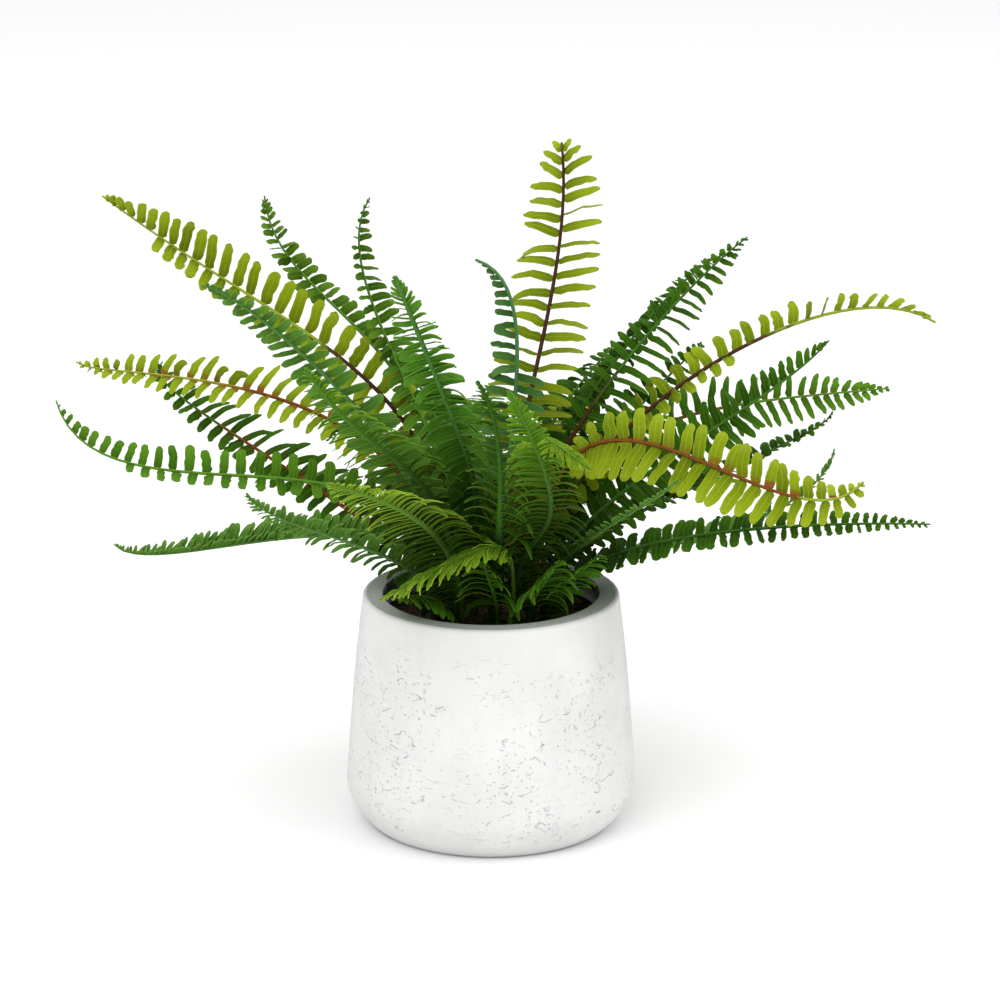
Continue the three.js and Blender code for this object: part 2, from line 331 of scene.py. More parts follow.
def cementFinish():
    f = Finish("castCement")
    here = f.place()
    z = f.parts(here)[2]
    radius = f.node("ShaderNodeVectorMath", {"operation": "LENGTH"},
                    {0: f.stretched(here, (1, 1, 0))}, "Value")
    blotches = f.clouds(here, pot["blotches"], 3)
    streaks = f.clouds(f.stretched(here, (1, 1, 0.08)), pot["streaks"], 3)
    grain = f.clouds(here, pot["grain"], 2)
    # marks gather on the middle and lower side, the top fifth is smoother
    height = f.fade(z, *metres(pot["smoothTop"])) * f.fade(z, *metres(pot["smoothFoot"]), 0.4)
    patch = f.fade(f.clouds(here, pot["patches"], 2), 0.38, 0.6)
    marked = height * (0.2 + 0.8 * patch)
    # pits: small ragged holes of mixed size
    ragged = f.node("ShaderNodeVectorMath", {"operation": "MULTIPLY_ADD"},
                    {0: f.clouds(here, pot["fray"], out="Color"), 1: metres([pot["fringe"]] * 3),
                     2: here})

    def pits(look, vector, channel):
        size = f.fade(f.cells(vector, look["scale"]), *look["size"])
        kept = f.fade(f.parts(f.cells(vector, look["scale"], "Color"))[channel], *look["share"])
        return size * kept * marked * look["depth"]

    holes = pits(pot["finePits"], ragged, 0)
    holes += pits(pot["widePits"], f.stretched(ragged, (1, 1, 1.9)), 1)
    # drag marks: short curved lines, the broken contours of a stretched noise
    swirl = f.clouds(f.stretched(here, (1, 1, 2.1), (0.2, 0.3, 0)), pot["dragMarks"], 1.5)
    line = f.fade(abs(swirl - 0.47), 0.02, 0.0)
    ripples = line * f.fade(f.clouds(here, pot["dragBreaks"], 1), 0.54, 0.62) * marked
    colour = f.blend(f.fade(blotches, 0.35, 0.7), pot["cement"], pot["pale"])
    colour = f.blend(f.fade(streaks, 0.5, 0.8) * 0.16, colour, pot["stain"])
    # darker towards the foot
    colour = f.blend(f.fade(z, *metres(pot["darkerFoot"])) * 0.2, colour, pot["stain"])
    # painted shade: the pits and drag marks are darkened like hollows in shadow
    colour = f.blend(f.capped(holes * 0.55 + ripples * 0.26), colour, pot["pitShade"])
    # the rim top is painted darker and greener: partly the cement's own grey, partly painted shade
    # and painted reflection of the leaves
    onRim = f.fade(z, *metres(pot["rimHeight"])) * f.fade(radius, *metres(pot["rimReach"]))
    shadedRimTone = f.blend(f.fade(grain, 0.4, 0.75), pot["rim"], pot["stain"])
    colour = f.blend(onRim * 0.9, colour, shadedRimTone)
    mottle = f.fade(f.clouds(here, pot["insideMottle"], 3), 0.45, 0.75)
    insideTone = f.blend(mottle, pot["inside"], pot["rim"])
    colour = f.blend(f.fade(radius, *metres(pot["insideReach"])), insideTone, colour)
    relief = f.relief(grain * 0.14 + streaks * 0.1, 0.7 * mm, 0.7)
    relief = f.relief(1 - holes, 0.9 * mm, 0.8, relief)
    relief = f.relief(swirl * 0.3 + ripples * -1.0, 0.8 * mm, 0.8, relief)
    return f.wear(colour, f.fade(grain, 0.3, 0.7, 0.82, 0.95), relief, Specular_IOR_Level=0.3)


def makePot():
    bm = bmesh.new()
    spun(bm, potProfile(), pot["turns"])
    fromRadius, fromHeight = metres(pot["strayFrom"])
    for vert in bm.verts:
        flat = Vector((vert.co.x, vert.co.y, 0))
        if flat.length > fromRadius and vert.co.z > fromHeight:
            lump = noise.noise(vert.co / (pot["lumpSize"] * mm))
            vert.co += flat.normalized() * lump * pot["unevenness"] * mm
    piece = finished("cementPot", bm, [cementFinish()])
    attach(piece, "root")
    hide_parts("pot")
    return piece


potPiece = makePot()
print("pot")


# the soil

soil = {
    "top": 117, "dome": 4, "gap": 0.3,
    "rings": 18, "turns": 96,
    "lumps": ((70, 1.6), (210, 0.9)),  # how fine and how high each unevenness is
    "levelEdge": 6,  # near the pot it is even
    "wallRoom": 3, "stalkRoom": 2.4, "strandRoom": 3.5, "strandWallRoom": 1.5,
    "crumbs": 620, "crumbSize": (0.5, 2.0), "crumbSquash": (0.6, 1.15), "crumbRaised": 0.2,
    "fibres": 150, "fibreLength": (6, 17), "fibreRadius": 0.22, "fibreWidth": (0.6, 1.3),
    "chips": 60, "chipLength": 0.35, "chipWidth": (3, 5), "chipHeight": 0.35,
    "strandBow": 0.25, "strandArch": (0.3, 1.2), "strandRaised": 0.5,
    "peat": tone("#221810"), "dry": tone("#35271b"), "fibre": tone("#5c3a22"),
    "chip": tone("#45321f"),
    "peatGrain": 420, "damp": 60, "strandGrain": 900,  # how fine each pattern is
}


def soilHeight(x, y):
    share = math.hypot(x, y) / pot["mouthRadius"]
    return soil["top"] + soil["dome"] * (1 - share * share)


def peatFinish():
    f = Finish("peat")
    here = f.place()
    crumbs = f.clouds(here, soil["peatGrain"], 4, 0.65)
    damp = f.clouds(here, soil["damp"], 2)
    colour = f.blend(f.fade(crumbs, 0.35, 0.7), soil["peat"], soil["dry"])
    colour = f.blend(f.fade(damp, 0.45, 0.65) * 0.6, colour, soil["peat"])
    relief = f.relief(crumbs, 1.2 * mm, 0.8)
    return f.wear(colour, f.fade(damp, 0.4, 0.6, 0.95, 0.8), relief, Specular_IOR_Level=0.2)


def strandFinish(name, colour):
    f = Finish(name)
    strands = f.clouds(f.stretched(f.place(), (1, 1, 0.3)), soil["strandGrain"], 2)
    dark = tuple(c * 0.45 for c in colour[:3]) + (1,)
    streaked = f.blend(f.fade(strands, 0.35, 0.65), dark, colour)
    relief = f.relief(strands, 0.3 * mm, 0.6)
    return f.wear(streaked, f.fade(strands, 0.3, 0.7, 0.7, 0.9), relief)


def addCrumb(bm, rng, findSpot):
    size = rng.uniform(*soil["crumbSize"]) * rng.uniform(0.6, 1)
    spot = findSpot(soil["stalkRoom"] + size)
    made = bmesh.ops.create_icosphere(bm, subdivisions=1, radius=size * mm)["verts"]
    squash = [rng.uniform(*soil["crumbSquash"]) for _ in range(3)]
    for vert in made:
        lump = 1 + 0.3 * noise.noise(vert.co * 900 + spot)
        vert.co = Vector([c * k for c, k in zip(vert.co, squash)]) * lump
        vert.co += spot * mm + Vector((0, 0, size * soil["crumbRaised"] * mm))


# a fibre or a flat chip of bark that lies on the soil
def addStrand(bm, rng, findSpot, chip, reach):
    length = rng.uniform(*soil["fibreLength"]) * (soil["chipLength"] if chip else 1)
    thick = soil["fibreRadius"] * rng.uniform(*soil["chipWidth" if chip else "fibreWidth"])
    flat = soil["chipHeight"] if chip else 1
    spot = findSpot(soil["strandRoom"])
    heading = turned(Vector((1, 0, 0)), Vector((0, 0, 1)), rng.uniform(0, 360))
    across = Vector((-heading.y, heading.x, 0))
    bow = rng.uniform(-soil["strandBow"], soil["strandBow"]) * length
    arch = rng.uniform(*soil["strandArch"])
    made = tube(bm, 4, 4)
    for vert, angle, ring in made:
        t = ring / 2 - 1
        side = bow * (1 - t * t) + math.cos(angle) * thick
        place = spot + (heading * t * length / 2 + across * side)
        out = math.hypot(place.x, place.y)
        if out > reach:
            place *= reach / out
        lift = arch * (1 - t * t) + math.sin(angle) * thick * flat + soil["strandRaised"]
        place.z = soilHeight(place.x, place.y) + lift
        vert.co = place * mm
    faces = list({face for vert, angle, ring in made for face in vert.link_faces})
    bmesh.ops.recalc_face_normals(bm, faces=faces)
    for face in faces:
        face.material_index = 2 if chip else 1


def makeSoil(feet):
    bm = bmesh.new()
    rings = soil["rings"]
    side = innerSide(soil["gap"], soil["top"])
    rim = side[0][0]
    top = [(rim * i / rings, soilHeight(rim * i / rings, 0)) for i in range(rings)]
    spun(bm, top + side, soil["turns"])
    for vert in bm.verts:
        out = math.hypot(vert.co.x, vert.co.y) / mm
        if vert.co.z > (soil["top"] - 0.5) * mm and out < rim - 1:
            edge = min(1, (rim - out) / soil["levelEdge"])
            lump = sum(noise.noise(vert.co * fine) * high for fine, high in soil["lumps"])
            vert.co.z += lump * edge * mm
    rng = random.Random("soil")

    def findSpot(clear):
        while True:
            angle = rng.uniform(0, math.tau)
            out = math.sqrt(rng.random()) * (rim - soil["wallRoom"])
            spot = Vector((math.cos(angle) * out, math.sin(angle) * out, 0))
            if min((spot - foot).length for foot in feet) > clear:
                return Vector((spot.x, spot.y, soilHeight(spot.x, spot.y)))

    for _ in range(soil["crumbs"]):
        addCrumb(bm, rng, findSpot)
    for i in range(soil["fibres"] + soil["chips"]):
        addStrand(bm, rng, findSpot, i >= soil["fibres"], rim - soil["strandWallRoom"])
    materials = [peatFinish(), strandFinish("peatFibre", soil["fibre"]),
                 strandFinish("barkChip", soil["chip"])]
    piece = finished("pottingSoil", bm, materials)
    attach(piece, "root")
    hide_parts("potting_soil")
    return piece


# the fronds: each rises from the crown, arches through its bend and ends at its tip

grow = {
    "bendAt": 0.6,  # how far along its curve a stalk passes its bend
    "planted": 4.5,  # how deep its foot goes into the soil
    "curvePoints": 400, "places": 200,  # points of the curve, and even steps taken along it
    "headingStep": 0.006,  # its heading is read this far to both sides
    "stalkSides": 8, "stalkRings": 34,
    "footSwell": 0.3, "footEnd": 9,  # its foot thickens by this, over a ninth of its length
    "groove": 0.55, "flatness": 0.9,
    "spread": (0.55, 3, 0.8),  # the leaflets' length at the start, how soon full, how round the tip
    "plain": {  # what a frond has when nothing else is said
        "roll": 0, "cup": 0, "taper": 3.2, "stalk": (1.6, 0.5), "reach": 1, "end": 1, "twist": 4,
        "russet": (0, 0.03), "spots": 0, "bark": "brown", "deep": 0.42, "ruffle": 1.4,
        "wild": 0.05, "unrest": 1,
    },
}

# how a leaflet widens along its length, blunt and pointed
outlines = {
    "along": (0, 0.05, 0.17, 0.34, 0.52, 0.69, 0.83, 0.93, 0.98, 1),
    "blunt": (0.3, 0.86, 1, 1, 0.98, 0.95, 0.87, 0.69, 0.42, 0.09),
    "pointed": (0.3, 0.88, 1, 0.95, 0.85, 0.7, 0.5, 0.28, 0.12, 0.02),
}

# two values are at the frond's foot and at its tip, and all angles are in degrees: sky turns the
# leaflets' faces up to the light, arch raises their roots, droop bends their ends down, sweep
# leans them towards the tip and hook curls them towards it; pointed is 0 for blunt, 1 for pointed
# and below 0 for square; start and end say where they grow; deep is how far up from its
# foot a frond is painted in shade, ruffle how wavy its leaflets are, unrest how much they differ,
# wild the share that stray; russet is where the stalk turns from brown to green, spots the rust at
# the leaflets' roots
habits = {
    "comb": dict(spacing=5.6, width=(3.8, 3.2), sky=(0.9, 0.6), arch=(42, 20), droop=(95, 45),
        sweep=(6, 24), hook=10, pointed=0.5, start=0.06, deep=0.8, wild=0.02),
    "ladder": dict(spacing=6.6, width=6.2, sky=(0.62, 0.5), arch=(6, 4), droop=(16, 10),
        sweep=(2, 10), hook=8, pointed=0.35, start=0.14),
    "open": dict(spacing=7.6, width=4.9, sky=(0.3, 0.15), arch=(10, 5), droop=(34, 16),
        sweep=(10, 16), hook=10, pointed=0.4, start=0.13),
    "broad": dict(spacing=8.4, width=7.6, sky=0, arch=0, droop=(12, 8), sweep=(-4, 8), hook=6,
        pointed=0.08, start=0.14),
    "back": dict(spacing=7.0, width=5.8, sky=(0.25, 0.1), arch=(8, 4), droop=(32, 16),
        sweep=(8, 16), hook=10, pointed=0.3, start=0.11),
}


# foot, bend and tip are places in mm, the foot's on the soil; rise is how far it first climbs, and
# half is half of its width; roll turns it about its stalk and cup folds its two sides up; left and
# right say what one side has of its own, seen from foot to tip
def frond(name, shade, habit, foot, rise, bend, tip, half, **own):
    row = dict(grow["plain"], **habits[habit])
    row.update(name="frond_" + name, shade=shade, foot=foot, rise=rise, bend=bend, tip=tip,
               half=half, **own)
    return row


fronds = [
    # front, leaning towards the viewer and so seen from below
    frond("front_tall", "sea", "comb", (-9, -13), 97, (-13, -60, 225), (-48, -110, 331), 27,
        cup=(-20, 5), spacing=(7, 4.2), width=(6.2, 5.4), stalk=(2, 1.2), pointed=0.15,
        reach=(0.38, 1.15), deep=0.76, unrest=1.5, wild=0.06,
        left=dict(arch=(10, 0), droop=(125, 0), sky=(0.4, 0.3)),
        right=dict(arch=(-34, -4), droop=(70, 4), sky=(0, 0.3), sweep=(8, 4))),
    frond("front_left", "soft", "comb", (-18, -18), 100, (-53, -70, 227), (-93, -120, 286), 28,
        roll=10, cup=-10, spacing=5.6, width=(3, 2.9), stalk=(2.1, 1.2), unrest=1.2,
        left=dict(sweep=(-26, 4), arch=(62, 48), droop=(72, 58), reach=(1.15, 1)),
        right=dict(arch=4, droop=(58, 30), sweep=(-6, 8))),
    frond("front_light", "fresh", "comb", (-15, -27), 48, (-38, -90, 197), (-82, -150, 234), 27,
        roll=10, cup=-10, spacing=5.4, width=(3.2, 3), stalk=(1.9, 1.1),
        left=dict(sweep=(-26, 6), arch=(64, 54), droop=(76, 62), reach=(1.1, 0.9)),
        right=dict(arch=4, droop=(48, 24), sweep=(0, 12))),
    frond("front_centre", "soft", "comb", (12, -19), 70, (31, -82, 198), (9, -130, 277), 24,
        cup=-10, spacing=(10, 2.5), width=(3.8, 3.4), sky=(0.85, 0.15), arch=(22, 8),
        droop=(92, 24), sweep=(6, 34), stalk=(1.8, 1), deep=1, hook=16),
    frond("front_centre_long", "dark", "comb", (1, -26), 30, (5, -80, 218), (-7, -108, 276), 25,
        cup=-20, spacing=(9.4, 5), width=(5, 3), stalk=(2.4, 1), deep=0.5, hook=24,
        reach=(1.25, 0.85),
        left=dict(arch=(5, 10), droop=(76, 50)),
        right=dict(arch=(45, 35), droop=(70, 50))),
    frond("front_over_rim", "fresh", "broad", (12, -38), 59, (-1, -64, 175), (-58, -82, 151), 17,
        cup=-45, width=3.8, spacing=2.9, arch=(30, 34), droop=(50, 46), sweep=(42, 50), pointed=0.5,
        reach=(0.7, 1), ruffle=2.4, unrest=1.3, stalk=(1.3, 0.6), start=0.3, deep=0.45),
    frond("front_small_lime", "fresh", "comb", (20, -17), 119, (23, -72, 237), (52, -92, 225), 13,
        cup=-20, spacing=3.4, width=3.4, sky=(0.4, 0.1), arch=20, droop=(70, 60), sweep=(10, 30),
        reach=1.5, taper=5, stalk=(1.2, 0.6), deep=0.7),
    frond("front_low_left", "dark", "comb", (4, -35), 20, (1, -41, 143), (-4, -54, 164), 19,
        cup=-20, spacing=5.2, width=3.9, arch=(34, 24), droop=(110, 80), reach=1.25, start=0.04,
        deep=0.4, unrest=1.8, hook=22),
    frond("front_low_right", "dark", "comb", (20, -34), 20, (26, -44, 145), (36, -66, 168), 20,
        cup=-20, spacing=5.2, width=3.9, arch=(34, 24), droop=(110, 80), reach=1.25, start=0.04,
        deep=0.4, unrest=1.8, hook=22),
    frond("front_right_inner", "blue", "comb", (22, -22), 40, (63, -62, 186), (97, -90, 219), 20,
        roll=-10, spacing=4.4, width=4.2,
        left=dict(arch=(36, 30), droop=(24, 14), sky=(0.3, 0.2), sweep=(-24, -8)),
        right=dict(reach=0.4, droop=(40, 20))),
    frond("inner_left", "dark", "open", (-22, -32), 18, (-34, -42, 140), (-50, -58, 145), 18,
        cup=-10, width=5.2, spacing=5, arch=(12, 8), droop=(60, 40), start=0.05, deep=0.3),
    frond("inner_right", "dark", "open", (30, -26), 22, (42, -38, 150), (58, -62, 170), 18, cup=-10,
        width=5.2, spacing=5, arch=(12, 8), droop=(60, 40), start=0.05, deep=0.3),
    # left
    frond("left_blue", "blue", "open", (-22, -10), 102, (-107, -40, 281), (-149, -60, 314), 22,
        roll=40, spacing=7.2, width=6.2, sky=(0.1, 0), arch=0, droop=(18, 6), sweep=(2, 8),
        reach=(1.05, 0.92), stalk=(1.8, 1), pointed=0.1),
    frond("left_lime_high", "lime", "broad", (-20, 6), 133, (-96, 40, 262), (-213, 60, 338), 27,
        roll=(-40, -50), cup=(0, 45), spacing=(12.6, 8.2), width=(7, 6.4), pointed=-0.3,
        russet=(0.45, 0.6), spots=0.15, taper=5.5, ruffle=2, unrest=0.45, twist=0, wild=0,
        left=dict(reach=0.58, droop=(50, 60), end=0.88),
        right=dict(sweep=(0, 24), droop=(14, 8), reach=(0.46, 0.9))),
    frond("left_lime", "lime", "open", (-26, 1), 149, (-151, 15, 244), (-226, 25, 253), 22,
        roll=-20, cup=(5, 20), spacing=8.4, width=5.2, russet=(0.55, 0.8), spots=0.9, bark="rust",
        taper=4.6, ruffle=2, unrest=0.6,
        left=dict(reach=0.76, sweep=(25, 22), arch=0, droop=(66, 56)),
        right=dict(sweep=(-30, 4), arch=(12, 6), droop=(30, 12), hook=-24, reach=1)),
    frond("left_long", "mid", "broad", (-29, -5), 127, (-152, -15, 201), (-232, -20, 243), 22,
        roll=-20, cup=(5, 35), spacing=(11, 8.6), width=(6.2, 5.2), pointed=-0.2, droop=(12, 8),
        taper=4, ruffle=2, unrest=0.8, wild=0,
        left=dict(reach=0.62, end=0.8, droop=(46, 40)),
        right=dict(reach=0.86, sweep=(0, -4), twist=10)),
    frond("left_low", "blue", "open", (-31, -13), 90, (-131, -52, 173), (-198, -70, 178), 18,
        cup=(35, 50), spacing=3.7, width=5.2, sky=(0.2, 0.1), arch=(22, 14), droop=(30, 22),
        pointed=0.3,
        left=dict(reach=0.5, sweep=(-20, -12)),
        right=dict(reach=0.95, sweep=(-44, -38))),
    frond("left_front_low", "blue", "comb", (-25, -24), 46, (-85, -74, 184), (-125, -110, 217), 19,
        roll=15, spacing=5.8, width=4.2, sky=(0.5, 0.2), deep=0.55,
        left=dict(arch=(52, 38), droop=(66, 40), reach=1.05),
        right=dict(arch=0, droop=(60, 36), reach=0.85)),
    frond("left_dark", "dark", "open", (-27, 8), 38, (-142, 50, 205), (-183, 70, 242), 22, roll=-30,
        spacing=8, width=4.6, russet=(0.5, 0.9), spots=0.25, bark="rust", taper=4, ruffle=2,
        left=dict(reach=0.66, width=6.6, droop=(60, 40)),
        right=dict(sweep=(-26, -12), arch=(14, 8), droop=(36, 18), hook=0, reach=1.15)),
    frond("left_slim_high", "moss", "broad", (-16, 14), 160, (-85, 62, 274), (-126, 90, 332), 18,
        roll=-10, cup=10, spacing=(9.6, 5.6), width=(6.6, 6.2), pointed=-0.2, reach=(0.1, 0.98),
        twist=26, taper=5,
        left=dict(start=0.72)),
    frond("left_upright", "moss", "broad", (-10, 7), 90, (-59, 35, 268), (-66, 50, 339), 20, cup=10,
        spacing=(8.4, 6.8), width=(6.6, 5), sky=(0.3, 0.1), droop=(44, 24), twist=22, taper=3.6,
        reach=(1.15, 1), pointed=0.3,
        left=dict(reach=(1.35, 0.4))),
    # middle, upright
    frond("centre_slim", "teal", "broad", (4, -7), 90, (14, -20, 271), (-8, -30, 322), 19,
        spacing=7.8, width=5, sky=(0.3, 0), droop=(22, 10), reach=(1.15, 0.92), stalk=(1.8, 0.9),
        pointed=-0.2,
        left=dict(end=0.66)),
    frond("centre_lime_tall", "lime", "ladder", (3, 5), 80, (30, 50, 268), (39, 90, 362), 25,
        taper=13, russet=(0.9, 1.1), stalk=(1.7, 0.8), spacing=8.7, width=(6.8, 4.8),
        sky=(0.6, 0.4), arch=(14, 10), droop=(34, 30), twist=8, ruffle=2, deep=0.6, wild=0),
    # right
    frond("right_lime_broad", "lime", "broad", (24, -12), 201, (116, -60, 218), (195, -70, 212), 28,
        roll=(30, 50), spacing=8.6, width=(6.4, 7.4), start=0.36, russet=(0.8, 0.92), pointed=-0.05,
        stalk=(1.5, 0.8), bark="rust", twist=6, ruffle=1.8, taper=3.8, unrest=0.7, wild=0,
        left=dict(reach=0.86, sweep=(-32, -12), spots=(-0.9, 1.3), droop=(22, 14)),
        right=dict(reach=(0.66, 0.95), sweep=(-4, -14), droop=(24, 18), hook=-8)),
    frond("right_dark_high", "dark", "open", (12, 7), 80, (82, 40, 260), (140, 50, 317), 25,
        roll=40, spacing=8.1, width=(5, 4.4), sky=(0.25, 0.55), russet=(0.3, 0.75), bark="brown",
        droop=(44, 24), twist=12, ruffle=2.2, wild=0.1,
        left=dict(reach=(0.8, 0.7)),
        right=dict(reach=(1.05, 0.9))),
    frond("right_dark_behind", "dark", "open", (10, 15), 80, (86, 66, 266), (135, 80, 299), 17,
        roll=20, spacing=5.6, width=6.4, reach=0.7, droop=(50, 60), hook=-50, twist=28),
    frond("right_lime_arching", "lime", "broad", (20, 4), 90, (138, 25, 262), (242, 30, 274), 20,
        roll=(40, 0), cup=(-10, 45), width=(7, 5.6), spacing=(9.8, 8), pointed=0.05,
        russet=(0.5, 0.9), taper=9, ruffle=2, stalk=(1.6, 0.8), unrest=0.9,
        left=dict(reach=(1, 0.8), hook=-34, droop=(36, 10), sweep=(-8, 42), twist=16),
        right=dict(reach=0.65, end=0.62, droop=40)),
    frond("right_dark", "dark", "open", (27, -3), 60, (113, 0, 217), (182, 5, 270), 20, roll=40,
        spacing=7, width=5.8, sky=(0.15, 0.1), reach=(1.15, 1), taper=4.6, ruffle=2, wild=0.1,
        right=dict(end=0.76)),
    frond("right_mid", "mid", "open", (27, 6), 110, (108, 35, 220), (219, 45, 233), 26, roll=45,
        spacing=8.2, width=5, sky=(0.15, 0.1), spots=0.2, russet=(0.6, 0.75), reach=0.92,
        bark="rust", ruffle=2.2, unrest=0.7),
    frond("right_small_dark", "dark", "open", (19, 14), 60, (89, 70, 223), (118, 100, 244), 18,
        roll=30, width=5.8, twist=20),
    frond("right_edge", "dark", "open", (25, 15), 40, (133, 55, 184), (191, 70, 213), 16, cup=30,
        width=6.6, spacing=6.6, droop=(60, 50), twist=20),
    frond("right_blue", "blue", "open", (33, -6), 45, (127, -4, 167), (186, 0, 211), 18, roll=-30,
        cup=10, spacing=6, width=5.6, twist=10),
    frond("right_low", "dark", "broad", (31, -16), 51, (134, -44, 178), (233, -50, 183), 20,
        roll=(10, 35), cup=(20, 5), spacing=(6, 7), width=(7, 4.8), sky=0.2, pointed=0, twist=16,
        ruffle=2, wild=0,
        left=dict(reach=(0.72, 0.66), hook=24),
        right=dict(reach=(0.9, 0.4), droop=(44, 20))),
    # back, mostly drooping
    frond("back_upright", "mid", "back", (-2, 14), 90, (-4, 72, 205), (0, 125, 216), 23),
    frond("back_upright_left", "dark", "back", (-9, 17), 80, (-35, 70, 218), (-55, 118, 240), 22),
    frond("back_upright_right", "dark", "back", (5, 21), 80, (42, 72, 218), (70, 118, 240), 22),
    frond("back_right", "mid", "back", (18, 24), 50, (68, 100, 190), (110, 158, 180), 25, cup=10,
        russet=(0.3, 0.6), spots=0.3, bark="rust"),
    frond("back_right_inner", "lime", "back", (11, 27), 60, (36, 118, 196), (60, 182, 178), 26,
        cup=(0, 10), russet=(0.7, 0.9), spots=0.5),
    frond("back_middle", "dark", "back", (2, 29), 40, (5, 115, 172), (10, 185, 160), 25, cup=10),
    frond("back_left_inner", "mid", "back", (-7, 26), 60, (-28, 112, 198), (-45, 182, 184), 25,
        cup=(0, 10), russet=(0.4, 0.7), bark="rust"),
    frond("back_left", "dark", "back", (-15, 23), 50, (-58, 98, 186), (-96, 160, 172), 24, cup=10),
    frond("back_low_left", "blue", "back", (-22, 16), 35, (-84, 74, 165), (-136, 126, 156), 21,
        cup=(10, 20)),
    frond("back_low_right", "blue", "back", (26, 23), 35, (90, 72, 164), (146, 114, 158), 21,
        cup=(10, 20)),
]

# upper and under side of the leaflets, their young tips, their veins, their stalk, how much
# lighter their margin is, partly its own paler green and partly painted light, and the slot
shadeFields = ("upper", "under", "young", "vein", "stalk", "marginLight", "slot")
shadeRows = {
    "lime": ("#6e8404", "#7a9008", "#9fb222", "#aabb36", "#8a9c2c", 0.3, "frond_lime"),
    "fresh": ("#4f7806", "#608a10", "#93b426", "#a2c440", "#5a8420", 0.65, "frond_lime"),
    "soft": ("#356404", "#43740a", "#6c9e20", "#7cae30", "#4a7a20", 0.6, "frond_mid"),
    "sea": ("#2b6208", "#3c7614", "#639a2e", "#78aa42", "#467a2e", 0.5, "frond_mid"),
    "mid": ("#386808", "#46780e", "#659424", "#6d9a30", "#568422", 0.3, "frond_mid"),
    "moss": ("#375f08", "#456e0e", "#628c22", "#709832", "#4e7a20", 0.35, "frond_dark"),
    "dark": ("#234b03", "#2e5d08", "#4c7a12", "#5c8c26", "#396618", 0.4, "frond_dark"),
    "blue": ("#396816", "#487a22", "#648e34", "#80aa50", "#54823e", 0.35, "frond_blue"),
    "teal": ("#396826", "#467634", "#5e8c42", "#74a060", "#52824c", 0.3, "frond_blue"),
}
shades = {name: dict(zip(shadeFields, row)) for name, row in shadeRows.items()}

barks = {"rust": "#774511", "brown": "#482a18"}

# how fine the patterns on leaflets and stalks are, how deep their reliefs, and their marks
surface = {
    "mottle": 480, "cast": 38, "rustEdge": 500, "sideVeins": 120, "veinSlant": 46,
    "leafRelief": 0.22, "leafGloss": 0.06, "leafGlint": (0.8, 1, 0.45, 1),
    "scorch": tone("#7a6a2a"), "rust": tone("#7c3c1a"),
    "flecks": 700, "barkEdge": 160, "stalkRelief": 0.3, "stalkGloss": 0.12,
}


def mixed(pair, share):
    return pair[0] + (pair[1] - pair[0]) * share if isinstance(pair, tuple) else pair


class Rachis:
    # the stalk's middle line, even steps along its length
    def __init__(self, row):
        foot = Vector((*row["foot"], soilHeight(*row["foot"])))
        raised = foot + Vector((0, 0, row["rise"]))
        tip = Vector(row["tip"])
        t = grow["bendAt"]
        u = 1 - t
        over = Vector(row["bend"]) - foot * u ** 3 - raised * 3 * u * u * t - tip * t ** 3
        over /= 3 * u * t * t
        points = interpolate_bezier(foot, raised, over, tip, grow["curvePoints"])
        run = [0]
        for a, b in zip(points, points[1:]):
            run.append(run[-1] + (b - a).length)
        self.length = run[-1]
        self.steps = grow["places"]
        self.places = []
        k = 0
        for i in range(self.steps + 1):
            want = self.length * i / self.steps
            while k < len(run) - 2 and run[k + 1] < want:
                k += 1
            share = (want - run[k]) / (run[k + 1] - run[k])
            self.places.append(points[k].lerp(points[k + 1], share))
        self.row = row
        self.side = Vector((row["foot"][1] - row["tip"][1], row["tip"][0] - row["foot"][0], 0))

    def at(self, share):
        spot = min(max(share, 0), 1) * self.steps
        i = min(int(spot), self.steps - 1)
        return self.places[i].lerp(self.places[i + 1], spot - i)

    def frame(self, share):
        step = grow["headingStep"]
        forward = (self.at(share + step) - self.at(share - step)).normalized()
        left = (self.side - forward * self.side.dot(forward)).normalized()
        left.rotate(Quaternion(forward, math.radians(mixed(self.row["roll"], share))))
        return self.at(share), forward, left, forward.cross(left)


def spreadAt(row, share):
    least, widening, rounding = grow["spread"]
    along = max(0, share - row["start"]) / (1 - row["start"])
    return min(1, least + along * widening) * max(0, 1 - along ** row["taper"]) ** rounding


# one leaflet, in mm, degrees and shares of its length or width
leaflet = {
    "root": 0.3,  # how far from the stalk's middle line it starts
    "trough": 0.16,  # how far its margins hang below its midrib
    "thickness": 0.38, "crease": 0.9,
    "tipLean": 48,  # how much more it leans forward at the frond's tip
    "lift": 0.8, "fall": 0.92,  # how much of the way to upright and to straight down it may turn
    "bending": (0.35, 1.3), "curling": 1.6,  # how droop and hook grow along it
    "smallest": 0.4,  # its size at the frond's tip
    "shortest": 2.2, "slimmest": 0.12, "stoutest": 0.8,
    "tipWidth": 0.85,  # its width at the frond's tip, as a share of the spacing
    "endRoom": 1.2,
    "lengths": (0.93, 1.07), "widths": (0.9, 1.1), "spacings": (0.94, 1.06),
    "strays": {"sky": 0.06, "sweep": 5, "droop": 7, "twist": 9, "hook": 8},
    "wild": {"droop": 28, "twist": 50},
    "waves": (0.045, 0.02), "ruffles": (-0.05, 0.03),
    "spotted": 0.8,  # the share of leaflets that have spots where a frond has them
}


